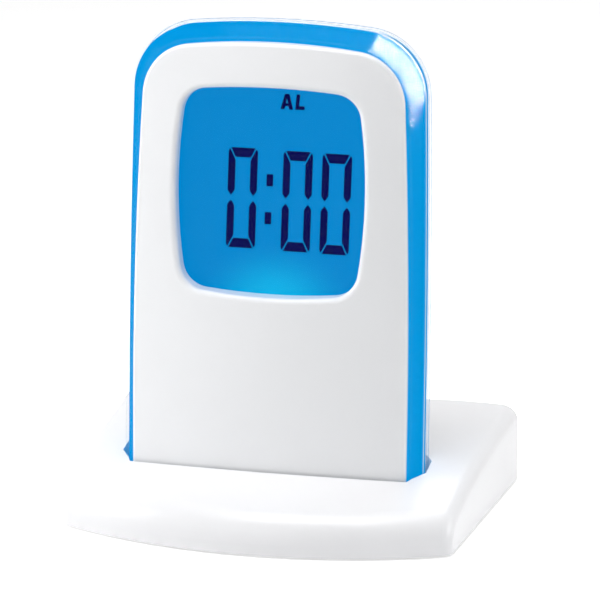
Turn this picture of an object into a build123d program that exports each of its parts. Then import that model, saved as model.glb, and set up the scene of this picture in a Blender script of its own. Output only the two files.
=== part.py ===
from build123d import *
import os
from math import asin, cos, degrees, radians, sin, sqrt

# A desk clock: an upright display head that stands in the socket of a low moulded base.
# Millimetres. X runs across the clock, -Y is the front, Z is up.
# The origin is under the middle of the base, at the height of the rubber feet's soles.

# Base outline
base_boss_out = 1.9
base_boss_cover = 7.5
base_spread = 4.0
base_side_depth = 62.6
base_front_bow = 10.9
base_back_bow = 0.9
base_corner_round = 4.5

# Base height, as the side of the base shows it
shell_lift = 0.5
crest_height = 17.6
crest_distance = 52.0
crown_radius = 145.0
nose_radius = 7.0
base_edge_round = 3.4
base_wall = 2.0

# Base underside
plate_thickness = 1.5
plate_recess = 0.3
plate_gap = 0.25
foot_radius = 4.5
foot_recess = 0.5
foot_gap = 0.1
foot_edge = 0.4
foot_side_inset = 13.0
foot_front_inset = 20.2
foot_back_inset = 8.3
base_boss_radius = 3.2
base_boss_behind = 6.0
base_boss_back_inset = 17.8

# Head, measured up its own leaning face from the table
head_lean = 3.0
head_behind_nose = 22.7
head_top_room = 8.1
head_seat = 5.0
seat_gap = 0.2
flare_height = 25.0
head_taper = 1.2
head_crown = 2.7
head_corner = 14.7
foot_corner = 2.0

# Frame round the head, in depth behind the plane where the white cover ends
shoulder_depth = 3.3
frame_depth = 8.3
clear_wall = 0.7
nest_gap = 0.1
frame_opening_inset = 4.4

# White front cover with its pillowed face
cover_inset = 3.0
cover_top_drop = 1.1
cover_extra_taper = 1.0
cover_wall = 1.0
cover_side_wall = 1.8
pillow_height = 5.0
pillow_plan_radius = 143.0
pillow_side_radius = 1200.0
pillow_middle = 45.0
cover_edge_round = 0.8
window_edge_round = 1.1

# Window in the cover
window_rise = 8.5
window_side_bow = 2.0
window_end_bow = 1.3
window_corner = 6.0
window_rim = 1.6
lens_margin = 1.0
lens_thickness = 1.2
stack_gap = 0.05

# Display stack behind the window
glass_thickness = 2.7
glass_room = 0.25
glass_side_margin = 1.45
glass_low_margin = 1.8
glass_high_margin = 1.6
holder_room = 0.4
holder_side_room = 0.2
holder_wall = 1.1
holder_gap = 0.2
guide_thickness = 2.8
guide_side_gap = 0.3
reflector_thickness = 0.3
zebra_height = 2.4
zebra_half_width = 21.0
led_half_width = 2.0
led_height = 1.5

# Circuit board and what sits on it
board_room = 0.35
board_thickness = 1.2
board_rise = 2.5
board_gap = 0.25
side_led_room = 0.7
side_led_steps = (-10.0, 13.0, 28.0)
side_led_width = 1.6
side_led_height = 3.2
side_led_thickness = 0.8
blob_radius = 4.6
blob_height = 1.3
blob_across = 16.0
blob_drop = 5.0
crystal_radius = 1.0
crystal_length = 6.0
crystal_edge = 0.3
buzzer_radius = 8.5
buzzer_thickness = 3.4
buzzer_room = 4.0
sound_hole_radius = 0.8
sound_ring_radius = 4.0
sound_hole_count = 6

# Rear cover
rear_inset = 2.0
rear_shrink = 2.5
rear_wall = 1.6
rear_round = 1.5
lip_length = 2.0
lip_wall = 1.2
lip_gap = 0.15

# Push buttons
button_names = ("mode", "set", "up", "down")
button_rise = 16.5
button_side_room = 0.8
button_radius = 3.2
button_gap = 0.2
button_flange = 1.0
button_flange_thickness = 0.7
button_proud = 0.8
button_travel = 0.5
button_free = 0.1
button_edge = 0.4
switch_body_size = 6.0
switch_body_height = 2.0
plunger_radius = 1.5
plunger_height = 0.8

# Slide switch for the light
slider_room = 10.5
slider_length = 3.0
slider_width = 2.4
slider_travel = 3.0
slider_gap = 0.2
slider_proud = 0.7
slider_plate_length = 10.0
slider_plate_width = 4.4
slider_plate_thickness = 0.5
slider_body_length = 10.4
slider_body_width = 5.0
slider_body_gap = 0.3

# Battery bay: two small cells lie across the head
cell_radius = 5.15
cell_length = 43.3
cell_edge = 0.5
cell_nub_radius = 1.8
cell_nub_length = 1.0
cell_spacing = 0.7
cell_gap = 0.25
cell_count = 2
bay_room = 3.6
bay_wall = 1.2
bay_floor = 1.0
contact_thickness = 0.4
contact_gap = 0.35
contact_width = 8.0
contact_height = 7.0
contact_boss_radius = 2.4
contact_boss_height = 0.3
tab_depth = 2.0
lead_radius = 0.45
lead_spread = 1.4
lead_room = 1.0
lead_overlap = 2.5

# Battery door
door_gap = 0.25
door_corner = 1.5
door_tab_across = 12.0
door_tab_width = 6.0
door_tab_thickness = 1.2
door_tab_reach = 1.4
door_tab_root = 1.7
tab_slot_gap = 0.4
latch_width = 8.0
latch_height = 1.4
scoop_radius = 5.0
scoop_depth = 0.9

# Screws
case_boss_radius = 2.3
top_boss_room = 0.4
side_boss_inset = 7.6
side_boss_rise = 2.0
low_boss_inset = 7.8
low_boss_rise = 8.5
rear_boss_radius = 3.4
boss_split_depth = 10.2
boss_split_gap = 0.1
notch_gap = 0.3
screw_shank_radius = 1.1
screw_hole_gap = 0.05
screw_pass_gap = 0.25
case_head_radius = 2.1
case_head_height = 1.4
case_sink_depth = 2.2
case_screw_length = 8.0
base_head_radius = 2.2
base_head_angle = 90.0
base_screw_length = 7.5
screw_end_gap = 0.5

# Socket for the head
socket_clearance = 0.6
socket_shift = 0.25
socket_wall = 1.8

# Worked-out depths, from the window back to the rear cover
lens_back = stack_gap + lens_thickness
glass_depth = lens_back + glass_room
glass_back = glass_depth + glass_thickness
guide_front = glass_back + 2 * stack_gap
guide_back = guide_front + guide_thickness
board_depth = guide_back + stack_gap + reflector_thickness + board_room
board_back = board_depth + board_thickness
plunger_end = board_back + switch_body_height + plunger_height
flange_front = plunger_end + button_travel + button_free
flange_back = flange_front + button_flange_thickness
rear_inner = flange_back + button_free
rear_depth = rear_inner + rear_wall
slider_plate_back = rear_inner - slider_gap / 2
slider_plate_front = slider_plate_back - slider_plate_thickness
cell_depth = rear_inner - cell_gap - cell_radius
bay_front = cell_depth - cell_radius - cell_gap
frame_inset = clear_wall + nest_gap

# Worked-out heights, from the head's seat up to its top
head_foot = head_seat + seat_gap
low_boss_height = head_seat + low_boss_rise
bay_bottom = low_boss_height + rear_boss_radius + bay_room
cell_pitch = 2 * cell_radius + cell_spacing
bay_height = cell_pitch * (cell_count - 1) + 2 * cell_radius + 2 * cell_gap
bay_top = bay_bottom + bay_height
bay_middle = (bay_bottom + bay_top) / 2
cell_heights = [bay_bottom + cell_gap + cell_radius + cell_pitch * n for n in range(cell_count)]
door_bottom = bay_bottom - bay_wall
door_top = bay_top + bay_wall
board_bottom = door_top + board_rise
window_bottom = door_top + window_rise
button_height = door_top + button_rise
side_boss_height = button_height + side_boss_rise
slider_height = button_height + (switch_body_size + slider_body_width) / 2 + slider_room
buzzer_height = slider_height + slider_body_width / 2 + buzzer_room + buzzer_radius
top_boss_height = buzzer_height + buzzer_radius + top_boss_room + rear_boss_radius
head_top = top_boss_height + head_top_room
glass_bottom = window_bottom - glass_low_margin
glass_top = top_boss_height - case_boss_radius - holder_room - holder_wall - holder_gap
window_top = glass_top - glass_high_margin

# Worked-out widths, from the battery cells out to the head's sides
cell_reach = cell_length / 2 + cell_nub_length / 2
bay_half_width = cell_reach + contact_gap + contact_thickness + contact_gap
door_half_width = bay_half_width + bay_wall
lead_reach = door_half_width + lead_spread * cell_count
head_half_width = lead_reach + lead_room + lip_wall + lip_gap + frame_opening_inset
side_boss_across = head_half_width - side_boss_inset
low_boss_across = head_half_width - low_boss_inset
holder_half_width = side_boss_across - case_boss_radius - holder_side_room
glass_half_width = holder_half_width - holder_wall - holder_gap
window_half_width = glass_half_width - glass_side_margin
side_led_across = holder_half_width + side_led_room + side_led_width / 2
case_boss_places = [
    (0, top_boss_height),
    (-side_boss_across, side_boss_height),
    (side_boss_across, side_boss_height),
    (-low_boss_across, low_boss_height),
    (low_boss_across, low_boss_height),
]
button_span = side_boss_across - rear_boss_radius - button_side_room - button_radius - button_flange
button_pitch = 2 * button_span / (len(button_names) - 1)

# Worked-out places on the base
base_boss_across = head_half_width + socket_clearance + base_boss_out
base_front_width = 2 * (base_boss_across + base_boss_cover)
base_back_width = base_front_width + base_spread
base_depth = base_side_depth + base_front_bow + base_back_bow
nose_y = -base_depth / 2
front_corner_y = nose_y + base_front_bow
back_corner_y = front_corner_y + base_side_depth
nose_plan_radius = ((base_front_width / 2) ** 2 + base_front_bow**2) / (2 * base_front_bow)
nose_axis_y = nose_y + nose_plan_radius
plate_bottom = shell_lift + plate_recess
plate_top = plate_bottom + plate_thickness
foot_across = base_back_width / 2 - foot_side_inset
foot_front = nose_y + foot_front_inset
foot_back = back_corner_y - foot_back_inset
head_face_y = nose_y + head_behind_nose
base_boss_front = head_face_y + base_boss_behind
base_boss_back = back_corner_y - base_boss_back_inset

# The head's own directions
up = Vector(0, sin(radians(head_lean)), cos(radians(head_lean)))
front = Vector(0, -cos(radians(head_lean)), sin(radians(head_lean)))
back = -front
head_origin = Vector(0, head_face_y, 0)
head_face = Plane(origin=head_origin, x_dir=(1, 0, 0), z_dir=front)
forward_axis = Axis(head_origin, front)


def head_point(across, height, depth):
    """A point of the head from its place across, up and behind the face plane."""
    return head_origin + Vector(across, 0, 0) + up * height + back * depth


def depth_plane(depth):
    """The plane parallel to the face at a depth, drawn in across and up."""
    return head_face.offset(-depth)


def level_plane(height):
    """The plane square to the head's upright at a height, drawn in across and depth."""
    return Plane(origin=head_point(0, height, 0), x_dir=(1, 0, 0), z_dir=up)


def arched_outline(inset, top_drop=0.0, extra_taper=0.0):
    """Front outline of the head: upright sides that draw in, a crowned top, round corners."""
    half = head_half_width - inset
    shoulder = half - head_taper - extra_taper
    top = head_top - inset - top_drop
    foot = head_foot + inset
    with BuildSketch() as outline:
        with BuildLine():
            Line((-half, foot), (half, foot))
            Line((half, foot), (half, flare_height))
            TangentArc((half, flare_height), (shoulder, top - head_crown), tangent=(0, 1))
            ThreePointArc((shoulder, top - head_crown), (0, top), (-shoulder, top - head_crown))
            TangentArc((-half, flare_height), (-shoulder, top - head_crown), tangent=(0, 1))
            Line((-half, flare_height), (-half, foot))
        make_face()
        fillet(outline.vertices().group_by(Axis.Y)[-1], head_corner - inset)
        fillet(outline.vertices().group_by(Axis.Y)[0], foot_corner)
    return outline.sketch


def cover_outline(inset=0.0):
    """Outline of the white front cover, drawn in by an inset."""
    return arched_outline(cover_inset + inset, cover_top_drop, cover_extra_taper)


def frame_opening(inset=0.0):
    """The opening through the light frame, drawn in by an inset."""
    return arched_outline(frame_opening_inset + inset, cover_top_drop, cover_extra_taper)


def window_outline(margin=0.0):
    """The display window with its four bowed sides, grown by a margin."""
    half_width = window_half_width + margin
    bottom = window_bottom - margin
    top = window_top + margin
    corner_across = half_width - window_side_bow
    corner_low = bottom + window_end_bow
    corner_high = top - window_end_bow
    middle = (bottom + top) / 2
    with BuildSketch() as window:
        with BuildLine():
            ThreePointArc(
                (corner_across, corner_low), (half_width, middle), (corner_across, corner_high)
            )
            ThreePointArc((corner_across, corner_high), (0, top), (-corner_across, corner_high))
            ThreePointArc(
                (-corner_across, corner_high), (-half_width, middle), (-corner_across, corner_low)
            )
            ThreePointArc((-corner_across, corner_low), (0, bottom), (corner_across, corner_low))
        make_face()
        fillet(window.vertices(), window_corner + margin)
    return window.sketch


def pillow_body(sunk):
    """Solid behind the pillowed face, whose front lies a distance under the real one."""
    reach = head_half_width
    face = sunk - pillow_side_radius
    sag = pillow_plan_radius - sqrt(pillow_plan_radius**2 - reach**2)
    rear = frame_depth + pillow_height - pillow_side_radius
    half_turn = degrees(asin(head_top / pillow_side_radius))
    turning_point = head_point(0, pillow_middle, pillow_side_radius - pillow_height)
    start_plane = Plane(origin=turning_point, x_dir=(1, 0, 0), z_dir=up).rotated((half_turn, 0, 0))
    with BuildPart() as pillow:
        with BuildSketch(start_plane):
            with BuildLine():
                Bezier((-reach, face + sag), (0, face - sag), (reach, face + sag))
                Polyline(
                    (reach, face + sag), (reach, rear), (-reach, rear), (-reach, face + sag)
                )
            make_face()
        revolve(axis=Axis(turning_point, (-1, 0, 0)), revolution_arc=2 * half_turn)
    return pillow.part


def base_outline(inset):
    """Plan of the base: bowed front, sides that spread a little, bowed back, round back corners."""
    with BuildSketch() as plan:
        with BuildLine():
            ThreePointArc(
                (-base_front_width / 2, front_corner_y),
                (0, nose_y),
                (base_front_width / 2, front_corner_y),
            )
            Line((base_front_width / 2, front_corner_y), (base_back_width / 2, back_corner_y))
            ThreePointArc(
                (base_back_width / 2, back_corner_y),
                (0, back_corner_y + base_back_bow),
                (-base_back_width / 2, back_corner_y),
            )
            Line((-base_back_width / 2, back_corner_y), (-base_front_width / 2, front_corner_y))
        make_face()
        fillet(plan.vertices().group_by(Axis.Y)[-1], base_corner_round)
        if inset:
            offset(amount=-inset, kind=Kind.INTERSECTION)
    return plan.sketch


def base_form(inset, bottom):
    """Base body: its side profile turned about the front bow's centre, cut to the plan."""
    radius = crown_radius - inset
    nose = nose_plan_radius - inset
    crest = nose_plan_radius - crest_distance
    nose_height = crest_height - crown_radius + sqrt(radius**2 - (nose - crest) ** 2)
    axis_height = crest_height - crown_radius + sqrt(radius**2 - crest**2)
    turning_point = (0, nose_axis_y, 0)
    with BuildPart() as form:
        with BuildSketch(Plane(origin=turning_point, x_dir=(1, 0, 0), z_dir=(0, -1, 0))) as side:
            with BuildLine():
                Line((nose, bottom), (nose, nose_height))
                ThreePointArc((nose, nose_height), (crest, crest_height - inset), (0, axis_height))
                Polyline((0, axis_height), (0, bottom), (nose, bottom))
            make_face()
            nose_corner = side.vertices().group_by(Axis.X)[-1].sort_by(Axis.Y)[-1]
            fillet(nose_corner, nose_radius - inset)
        revolve(axis=Axis(turning_point, (0, 0, -1)), revolution_arc=180)
        with BuildSketch(Plane.XY.offset(bottom)):
            add(base_outline(inset))
        extrude(amount=crest_height, mode=Mode.INTERSECT)
    return form.part


def head_section(growth):
    """Level cut through the foot of the head, grown by a clearance."""
    cover_half = head_half_width - cover_inset
    rim = pillow_height - pillow_plan_radius + sqrt(pillow_plan_radius**2 - cover_half**2)
    edge_half = cover_half + frame_inset
    back_half = head_half_width - rear_inset - rear_shrink
    with BuildSketch() as section:
        with BuildLine():
            ThreePointArc((-cover_half, -rim), (0, -pillow_height), (cover_half, -rim))
            Polyline(
                (cover_half, -rim),
                (edge_half, 0),
                (head_half_width, shoulder_depth),
                (head_half_width, frame_depth),
                (back_half, rear_depth),
                (-back_half, rear_depth),
                (-head_half_width, frame_depth),
                (-head_half_width, shoulder_depth),
                (-edge_half, 0),
                (-cover_half, -rim),
            )
        make_face()
        offset(amount=growth)
    return section.sketch


def save(piece, name):
    """Label a finished piece and write it to its own file."""
    piece.part.label = name
    export_step(piece.part, f"parts/{name}.step")


os.makedirs("parts", exist_ok=True)

# Base shell: a thin moulded hump with a well for the head and four screw bosses
base_boss_places = [
    (side * base_boss_across, y) for y in (base_boss_front, base_boss_back) for side in (-1, 1)
]
pilot_radius = screw_shank_radius + screw_hole_gap
socket_plane = Plane(origin=head_point(0, 0, socket_shift), x_dir=(1, 0, 0), z_dir=up)

with BuildPart() as base_hollow:
    add(base_form(base_wall, 0))
    with BuildSketch(socket_plane.offset(plate_top - crest_height)):
        add(head_section(socket_clearance + socket_wall))
    extrude(amount=3 * crest_height, mode=Mode.SUBTRACT)
    with BuildSketch(Plane.XY):
        with Locations(*base_boss_places):
            Circle(base_boss_radius)
    extrude(amount=crest_height, mode=Mode.SUBTRACT)

with BuildPart() as base_floor_space:
    with BuildSketch(Plane.XY):
        add(base_outline(base_wall))
    extrude(amount=plate_top)

with BuildPart() as base_shell:
    add(base_form(0, shell_lift))
    fillet(base_shell.edges().filter_by(GeomType.BSPLINE), base_edge_round)
    add(base_hollow.part, mode=Mode.SUBTRACT)
    add(base_floor_space.part, mode=Mode.SUBTRACT)
    with BuildSketch(socket_plane.offset(head_seat)):
        add(head_section(socket_clearance))
    extrude(amount=crest_height, mode=Mode.SUBTRACT)
    with BuildSketch(Plane.XY.offset(plate_top)):
        with Locations(*base_boss_places):
            Circle(pilot_radius)
    extrude(amount=base_screw_length, mode=Mode.SUBTRACT)
save(base_shell, "base_shell")

# Base plate: closes the shell from below, with seats for the feet and sunk screws
foot_places = [(side * foot_across, y) for y in (foot_front, foot_back) for side in (-1, 1)]

with BuildPart() as base_plate:
    with BuildSketch(Plane.XY.offset(plate_bottom)):
        add(base_outline(base_wall + plate_gap))
    extrude(amount=plate_thickness)
    with BuildSketch(Plane.XY.offset(plate_bottom)):
        with Locations(*foot_places):
            Circle(foot_radius + foot_gap)
    extrude(amount=foot_recess, mode=Mode.SUBTRACT)
    with Locations(Plane(origin=(0, 0, plate_bottom), x_dir=(1, 0, 0), z_dir=(0, 0, -1))):
        with Locations(*[(x, -y) for x, y in base_boss_places]):
            CounterSinkHole(
                radius=screw_shank_radius + screw_pass_gap,
                counter_sink_radius=base_head_radius + screw_pass_gap,
                counter_sink_angle=base_head_angle,
            )
save(base_plate, "base_plate")

# Base screws: four sunk heads in one node
head_drop = base_head_radius - screw_shank_radius
screw_seat = plate_bottom + screw_end_gap / 2

with BuildPart() as base_screw:
    with BuildSketch(Plane.XZ):
        with BuildLine():
            Polyline(
                (0, 0),
                (base_head_radius, 0),
                (screw_shank_radius, head_drop),
                (screw_shank_radius, base_screw_length),
                (0, base_screw_length),
                (0, 0),
            )
        make_face()
    revolve(axis=Axis.Z)

with BuildPart() as base_screws:
    with Locations(*[(x, y, screw_seat) for x, y in base_boss_places]):
        add(base_screw.part)
save(base_screws, "base_screws")

# Rubber feet: four soft discs pressed into the plate
foot_names = ("front_left", "front_right", "back_left", "back_right")
for foot_name, foot_place in zip(foot_names, foot_places):
    with BuildPart() as rubber_foot:
        with BuildSketch():
            with Locations(foot_place):
                Circle(foot_radius)
        extrude(amount=plate_bottom + foot_recess)
        chamfer(rubber_foot.edges().sort_by(Axis.Z)[0], foot_edge)
    save(rubber_foot, f"rubber_foot_{foot_name}")

# White front cover: pillowed shell with a window rim and five screw bosses behind
forward_reach = 2 * pillow_height

with BuildPart() as cover_hollow:
    add(pillow_body(cover_wall))
    with BuildSketch(depth_plane(0)):
        add(cover_outline(cover_side_wall))
    extrude(amount=forward_reach, mode=Mode.INTERSECT)
    with BuildSketch(depth_plane(0)):
        add(window_outline(window_rim))
        with Locations(*case_boss_places):
            Circle(case_boss_radius)
    extrude(amount=forward_reach, mode=Mode.SUBTRACT)

with BuildPart() as front_cover:
    add(pillow_body(0))
    with BuildSketch(depth_plane(0)):
        add(cover_outline())
    extrude(amount=forward_reach, mode=Mode.INTERSECT)
    pillow_face = front_cover.faces().filter_by(GeomType.REVOLUTION)[0]
    fillet(pillow_face.outer_wire().edges(), cover_edge_round)
    with BuildSketch(depth_plane(0)):
        add(window_outline())
    extrude(amount=forward_reach, mode=Mode.SUBTRACT)
    pillow_face = front_cover.faces().filter_by(GeomType.REVOLUTION)[0]
    fillet(pillow_face.inner_wires()[0].edges(), window_edge_round)
    add(cover_hollow.part, mode=Mode.SUBTRACT)
    with BuildSketch(depth_plane(0)):
        with Locations(*case_boss_places):
            Circle(case_boss_radius)
    extrude(amount=-boss_split_depth)
    with BuildSketch(depth_plane(boss_split_depth)):
        with Locations(*case_boss_places):
            Circle(pilot_radius)
    extrude(amount=case_screw_length, mode=Mode.SUBTRACT)
save(front_cover, "front_cover")

# Light frame: the blue ring that carries the light round the head
with BuildPart() as light_frame:
    with BuildSketch(depth_plane(0)):
        add(cover_outline())
    with BuildSketch(depth_plane(shoulder_depth)):
        add(arched_outline(frame_inset))
    loft(ruled=True)
    with BuildSketch(depth_plane(shoulder_depth)):
        add(arched_outline(frame_inset))
    extrude(amount=shoulder_depth - frame_depth)
    with BuildSketch(depth_plane(0)):
        add(frame_opening())
    extrude(amount=-frame_depth, mode=Mode.SUBTRACT)
save(light_frame, "light_frame")

# Clear shell: the glossy outer skin round the light frame
with BuildPart() as clear_shell:
    with BuildSketch(depth_plane(0)):
        add(cover_outline(-frame_inset))
    with BuildSketch(depth_plane(shoulder_depth)):
        add(arched_outline(0))
    loft(ruled=True)
    with BuildSketch(depth_plane(shoulder_depth)):
        add(arched_outline(0))
    extrude(amount=shoulder_depth - frame_depth)
    with BuildSketch(depth_plane(0)):
        add(cover_outline(-nest_gap))
    with BuildSketch(depth_plane(shoulder_depth)):
        add(arched_outline(clear_wall))
    loft(ruled=True, mode=Mode.SUBTRACT)
    with BuildSketch(depth_plane(shoulder_depth)):
        add(arched_outline(clear_wall))
    extrude(amount=shoulder_depth - frame_depth, mode=Mode.SUBTRACT)
save(clear_shell, "clear_shell")

# Display window: the clear lens behind the opening in the cover
with BuildPart() as display_window:
    with BuildSketch(depth_plane(stack_gap)):
        add(window_outline(lens_margin))
    extrude(amount=-lens_thickness)
save(display_window, "display_window")

# Display glass
glass_middle = (glass_bottom + glass_top) / 2
glass_height = glass_top - glass_bottom

with BuildPart() as lcd_glass:
    with BuildSketch(depth_plane(glass_depth)):
        with Locations((0, glass_middle)):
            Rectangle(2 * glass_half_width, glass_height)
    extrude(amount=-glass_thickness)
save(lcd_glass, "lcd_glass")

# Holder: the frame that keeps the display stack square on the circuit board
holder_front = lens_back + stack_gap
holder_back = board_depth - stack_gap

with BuildPart() as lcd_holder:
    with BuildSketch(depth_plane(holder_front)):
        with Locations((0, glass_middle)):
            Rectangle(2 * holder_half_width, glass_height + 2 * (holder_gap + holder_wall))
            Rectangle(
                2 * (glass_half_width + holder_gap),
                glass_height + 2 * holder_gap,
                mode=Mode.SUBTRACT,
            )
    extrude(amount=holder_front - holder_back)
save(lcd_holder, "lcd_holder")

# Backlight: an edge-lit guide, a reflector behind it and one lamp under its lower edge
guide_bottom = glass_bottom + led_height + stack_gap
guide_top = glass_top - zebra_height - 2 * holder_gap
guide_half_width = glass_half_width - guide_side_gap

with BuildPart() as light_guide:
    with BuildSketch(depth_plane(guide_front)):
        with Locations((0, (guide_bottom + guide_top) / 2)):
            Rectangle(2 * guide_half_width, guide_top - guide_bottom)
    extrude(amount=-guide_thickness)
save(light_guide, "light_guide")

with BuildPart() as reflector_sheet:
    with BuildSketch(depth_plane(guide_back + stack_gap)):
        with Locations((0, (guide_bottom + guide_top) / 2)):
            Rectangle(2 * guide_half_width, guide_top - guide_bottom)
    extrude(amount=-reflector_thickness)
save(reflector_sheet, "reflector_sheet")

with BuildPart() as backlight_led:
    with BuildSketch(depth_plane(guide_front + stack_gap)):
        with Locations((0, glass_bottom + led_height / 2)):
            Rectangle(2 * led_half_width, led_height)
    extrude(amount=guide_front + 2 * stack_gap - board_depth)
save(backlight_led, "backlight_led")

# Zebra strip: the rubber connector from the display glass to the board
with BuildPart() as zebra_strip:
    with BuildSketch(depth_plane(glass_back + stack_gap)):
        with Locations((0, glass_top - zebra_height / 2)):
            Rectangle(2 * zebra_half_width, zebra_height)
    extrude(amount=glass_back + 2 * stack_gap - board_depth)
save(zebra_strip, "zebra_strip")

# Circuit board, shaped to the head and notched round the screw bosses
with BuildPart() as circuit_board:
    with BuildSketch(depth_plane(board_depth)):
        add(frame_opening(lip_gap + lip_wall + board_gap))
        with Locations((0, board_bottom)):
            Rectangle(
                2 * head_half_width, head_top, align=(Align.CENTER, Align.MAX), mode=Mode.SUBTRACT
            )
        with Locations(*case_boss_places):
            Circle(case_boss_radius + notch_gap, mode=Mode.SUBTRACT)
    extrude(amount=-board_thickness)
save(circuit_board, "circuit_board")

# Frame lamps: small surface lamps along both sides of the board
side_led_places = [
    (side * side_led_across, side_boss_height + step) for step in side_led_steps for side in (-1, 1)
]

with BuildPart() as frame_leds:
    with BuildSketch(depth_plane(board_depth - side_led_thickness)):
        with Locations(*side_led_places):
            Rectangle(side_led_width, side_led_height)
    extrude(amount=stack_gap - side_led_thickness)
save(frame_leds, "frame_leds")

# Chip under its drop of resin: a low dome on the back of the board
parts_height = buzzer_height - blob_drop
dome_radius = (blob_radius**2 + blob_height**2) / (2 * blob_height)

with BuildPart() as chip_blob:
    with BuildSketch(level_plane(parts_height)):
        with BuildLine():
            Line((-blob_across, board_back), (blob_radius - blob_across, board_back))
            RadiusArc(
                (blob_radius - blob_across, board_back),
                (-blob_across, board_back + blob_height),
                -dome_radius,
            )
            Line((-blob_across, board_back + blob_height), (-blob_across, board_back))
        make_face()
    revolve(axis=Axis(head_point(-blob_across, parts_height, 0), back))
save(chip_blob, "chip_blob")

# Quartz crystal: a small can lying on the board
with BuildPart() as quartz_crystal:
    with BuildSketch(level_plane(parts_height - crystal_length / 2)):
        with Locations((blob_across, board_back + stack_gap + crystal_radius)):
            Circle(crystal_radius)
    extrude(amount=crystal_length)
    chamfer(quartz_crystal.edges().filter_by(GeomType.CIRCLE), crystal_edge)
save(quartz_crystal, "quartz_crystal")

# Buzzer disc case on the board, behind the sound holes
with BuildPart() as buzzer:
    with BuildSketch(depth_plane(board_back + stack_gap)):
        with Locations((0, buzzer_height)):
            Circle(buzzer_radius)
    extrude(amount=-buzzer_thickness)
    with BuildSketch(depth_plane(board_back + stack_gap + buzzer_thickness)):
        with Locations((0, buzzer_height)):
            Circle(sound_hole_radius)
    extrude(amount=buzzer_thickness / 3, mode=Mode.SUBTRACT)
save(buzzer, "buzzer")

# Push buttons and the switches they press
button_places = [
    (button_pitch * n - button_span, button_height) for n in range(len(button_names))
]

with BuildPart() as button_switches:
    with BuildSketch(depth_plane(board_back)):
        with Locations(*button_places):
            Rectangle(switch_body_size, switch_body_size)
    extrude(amount=-switch_body_height)
    with BuildSketch(depth_plane(board_back + switch_body_height)):
        with Locations(*button_places):
            Circle(plunger_radius)
    extrude(amount=-plunger_height)
save(button_switches, "button_switches")

for button_name, button_place in zip(button_names, button_places):
    with BuildPart() as button:
        with BuildSketch(depth_plane(flange_front)):
            with Locations(button_place):
                Circle(button_radius + button_flange)
        extrude(amount=-button_flange_thickness)
        with BuildSketch(depth_plane(flange_back)):
            with Locations(button_place):
                Circle(button_radius)
        extrude(amount=flange_back - rear_depth - button_proud)
        chamfer(button.edges().sort_by(forward_axis)[0], button_edge)
    save(button, f"button_{button_name}")

# Slide switch for the light: a body on the board and a knob through the rear cover
with BuildPart() as light_switch_body:
    with BuildSketch(depth_plane(board_back)):
        with Locations((0, slider_height)):
            Rectangle(slider_body_length, slider_body_width)
    extrude(amount=board_back + slider_body_gap - slider_plate_front)
save(light_switch_body, "light_switch_body")

slider_rest = -slider_travel / 2

with BuildPart() as light_switch_knob:
    with BuildSketch(depth_plane(slider_plate_front)):
        with Locations((slider_rest, slider_height)):
            Rectangle(slider_plate_length, slider_plate_width)
    extrude(amount=-slider_plate_thickness)
    with BuildSketch(depth_plane(slider_plate_back)):
        with Locations((slider_rest, slider_height)):
            Rectangle(slider_length, slider_width)
    extrude(amount=slider_plate_back - rear_depth - slider_proud)
save(light_switch_knob, "light_switch_knob")

# Rear cover: shell, locating lip, battery bay and every hole that the back needs
lead_depth = board_back + lead_radius + stack_gap
slot_bottom = door_bottom - door_tab_reach - tab_slot_gap
slot_depth = door_tab_thickness + 2 * tab_slot_gap
tab_places = [-door_tab_across, door_tab_across]

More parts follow.
